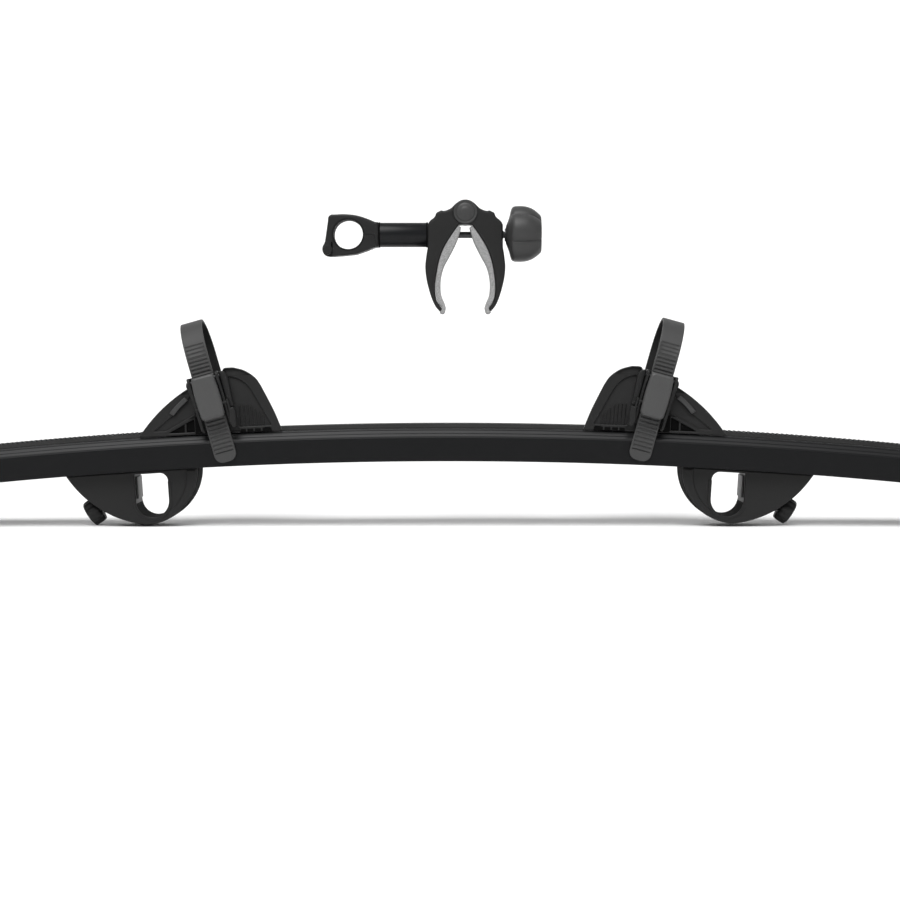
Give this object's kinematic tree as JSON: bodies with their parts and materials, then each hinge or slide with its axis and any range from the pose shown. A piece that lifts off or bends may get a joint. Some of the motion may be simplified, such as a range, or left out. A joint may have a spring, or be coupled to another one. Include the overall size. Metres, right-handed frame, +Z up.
{
  "type": "bicycle carrier extension kit",
  "caption": "Arched wheel rail with sliding strap wheel holders and bar-clamping feet, with a separate ring-mounted arm whose screw-driven padded jaws hold a bicycle frame.",
  "frame": {"origin": "midway along the rail on its centre plane, level with the centres of the two foot-clamp arcs, between the carrier's two cross bars", "axes": "+X along the rail towards the foot on the right, +Y across the rail along the clamped bars, +Z up"},
  "size_m": [1.306, 0.0985, 0.3555],
  "materials": {
    "rail_black": "black anodised aluminium, satin",
    "mat_rubber": "matt black rubber",
    "moulded_black": "fine-grained black moulding",
    "steel": "zinc-plated",
    "soft_black": "soft matt rubber",
    "knob_grey": "charcoal moulding",
    "tube_black": "satin black",
    "pad_grey": "speckled light grey rubber",
    "strap_grey": "charcoal flexible strap",
    "lever_grey": "charcoal moulding"
  },
  "bodies": {
    "rail_and_feet": {"rail": "rail_black", "bed_mats": "mat_rubber", "bed_strip": "mat_rubber", "rail_end_caps": "moulded_black", "foot_bolts": "steel", "foot_nuts": "steel", "left_foot": "moulded_black", "right_foot": "moulded_black", "left_screw_nut": "steel", "right_screw_nut": "steel"},
    "left_clamp_pad": {"left_clamp_pad": "soft_black"},
    "left_clamp_knob": {"left_clamp_knob": "knob_grey", "left_clamp_screw": "steel"},
    "left_holder": {"left_cradle_base": "moulded_black", "left_near_cheek": "moulded_black", "left_far_cheek": "moulded_black", "left_cheek_screws": "steel", "left_clamp_bars": "steel", "left_clamp_bolts": "steel", "left_strap": "strap_grey", "left_strap_pin": "steel", "left_ratchet_base": "moulded_black", "left_lever_pin": "steel", "left_pawl_spring": "steel"},
    "left_lever": {"left_ratchet_lever": "lever_grey"},
    "left_pawl": {"left_release_pawl": "lever_grey"},
    "right_clamp_pad": {"right_clamp_pad": "soft_black"},
    "right_clamp_knob": {"right_clamp_knob": "knob_grey", "right_clamp_screw": "steel"},
    "right_holder": {"right_cradle_base": "moulded_black", "right_near_cheek": "moulded_black", "right_far_cheek": "moulded_black", "right_cheek_screws": "steel", "right_clamp_bars": "steel", "right_clamp_bolts": "steel", "right_strap": "strap_grey", "right_strap_pin": "steel", "right_ratchet_base": "moulded_black", "right_lever_pin": "steel", "right_pawl_spring": "steel"},
    "right_lever": {"right_ratchet_lever": "lever_grey"},
    "right_pawl": {"right_release_pawl": "lever_grey"},
    "arm_frame": {"ring_bracket": "moulded_black", "ring_liner_upper": "soft_black", "gate_hinge_pin": "steel", "arm_tube": "tube_black", "fixed_jaw": "moulded_black", "fixed_jaw_pad": "pad_grey", "pivot_pin": "knob_grey"},
    "ring_gate": {"ring_gate": "moulded_black", "ring_liner_lower": "soft_black"},
    "gate_screw": {"gate_screw": "steel"},
    "moving_jaw": {"moving_jaw": "moulded_black", "moving_jaw_pad": "pad_grey"},
    "thrust_barrel": {"thrust_barrel": "steel"},
    "draw_rod": {"draw_rod": "steel", "rod_anchor": "steel"},
    "thrust_washer": {"thrust_washer": "steel"},
    "arm_clamp_knob": {"arm_clamp_knob": "knob_grey", "knob_insert": "steel"}
  },
  "joints": [
    {"name": "left_pad_travel", "type": "slide", "parent": "rail_and_feet", "child": "left_clamp_pad", "axis": [0.8327, 0, 0.5537], "range_m": [0, 0.005]},
    {"name": "left_knob_turn", "type": "hinge", "parent": "left_clamp_pad", "child": "left_clamp_knob", "pos_m": [-0.3972, 0, -0.01773], "axis": [0.8327, 0, 0.5537], "range_deg": [0, 1443]},
    {"name": "left_holder_slide", "type": "hinge", "parent": "rail_and_feet", "child": "left_holder", "pos_m": [0, 0, -5.12634], "axis": [0, 1, 0], "range_deg": [-3.34, 1.54]},
    {"name": "left_lever_lift", "type": "hinge", "parent": "left_holder", "child": "left_lever", "pos_m": [-0.2659, -0.0478, 0.13196], "axis": [-0.9624, 0, -0.2716], "range_deg": [0, 86]},
    {"name": "left_pawl_press", "type": "hinge", "parent": "left_holder", "child": "left_pawl", "pos_m": [-0.25788, -0.0475, 0.10357], "axis": [0.9624, 0, 0.2716], "range_deg": [0, 8], "stiffness_Nm_per_rad": 0.3, "springref_deg": -2.86},
    {"name": "right_pad_travel", "type": "slide", "parent": "rail_and_feet", "child": "right_clamp_pad", "axis": [-0.8351, 0, 0.5501], "range_m": [0, 0.005]},
    {"name": "right_knob_turn", "type": "hinge", "parent": "right_clamp_pad", "child": "right_clamp_knob", "pos_m": [0.37516, 0, -0.01606], "axis": [-0.8351, 0, 0.5501], "range_deg": [0, 1443]},
    {"name": "right_holder_slide", "type": "hinge", "parent": "rail_and_feet", "child": "right_holder", "pos_m": [0, 0, -5.12634], "axis": [0, 1, 0], "range_deg": [-1.24, 3.75]},
    {"name": "right_lever_lift", "type": "hinge", "parent": "right_holder", "child": "right_lever", "pos_m": [0.22805, -0.0478, 0.13373], "axis": [-0.9643, 0, 0.2647], "range_deg": [0, 86]},
    {"name": "right_pawl_press", "type": "hinge", "parent": "right_holder", "child": "right_pawl", "pos_m": [0.22025, -0.0475, 0.10529], "axis": [0.9643, 0, -0.2647], "range_deg": [0, 8], "stiffness_Nm_per_rad": 0.3, "springref_deg": -2.86},
    {"name": "arm_swivel", "type": "hinge", "parent": "rail_and_feet", "child": "arm_frame", "pos_m": [-0.111, 0, 0.28996], "axis": [0, 1, 0], "range_deg": [-90, 45]},
    {"name": "ring_gate_swing", "type": "hinge", "parent": "arm_frame", "child": "ring_gate", "pos_m": [-0.1335, 0, 0.27346], "axis": [0, 1, 0], "range_deg": [0, 95]},
    {"name": "gate_screw_advance", "type": "slide", "parent": "ring_gate", "child": "gate_screw", "axis": [0, 0, 1], "range_m": [0, 0.007]},
    {"name": "moving_jaw_swing", "type": "hinge", "parent": "arm_frame", "child": "moving_jaw", "pos_m": [0.0167, 0, 0.31416], "axis": [0, 1, 0], "range_deg": [-20.5, 22.5]},
    {"name": "thrust_barrel_turn", "type": "hinge", "parent": "moving_jaw", "child": "thrust_barrel", "pos_m": [0.0537, 0, 0.28996], "axis": [0, 1, 0], "range_deg": [-11, 10]},
    {"name": "draw_rod_tilt", "type": "hinge", "parent": "arm_frame", "child": "draw_rod", "pos_m": [-0.0153, 0, 0.28996], "axis": [0, 1, 0], "range_deg": [-11.5, 12.5]},
    {"name": "knob_travel", "type": "slide", "parent": "draw_rod", "child": "thrust_washer", "axis": [-1, 0, 0], "range_m": [-0.00833, 0.00877]},
    {"name": "clamp_knob_turn", "type": "hinge", "parent": "thrust_washer", "child": "arm_clamp_knob", "pos_m": [0.0663, 0, 0.28996], "axis": [-1, 0, 0], "range_deg": [-1503, 1583]}
  ],
  "couplings": [
    {"joint": "left_knob_turn", "follows": "left_pad_travel", "rad_per_m": 5026.5},
    {"joint": "right_knob_turn", "follows": "right_pad_travel", "rad_per_m": 5026.5},
    {"joint": "clamp_knob_turn", "follows": "knob_travel", "rad_per_m": 3141.6},
    {"joint": "moving_jaw_swing", "follows": "knob_travel", "rad_per_m": 41.322},
    {"joint": "draw_rod_tilt", "follows": "knob_travel", "rad_per_m": 21.901},
    {"joint": "thrust_barrel_turn", "follows": "knob_travel", "rad_per_m": -19.421}
  ]
}
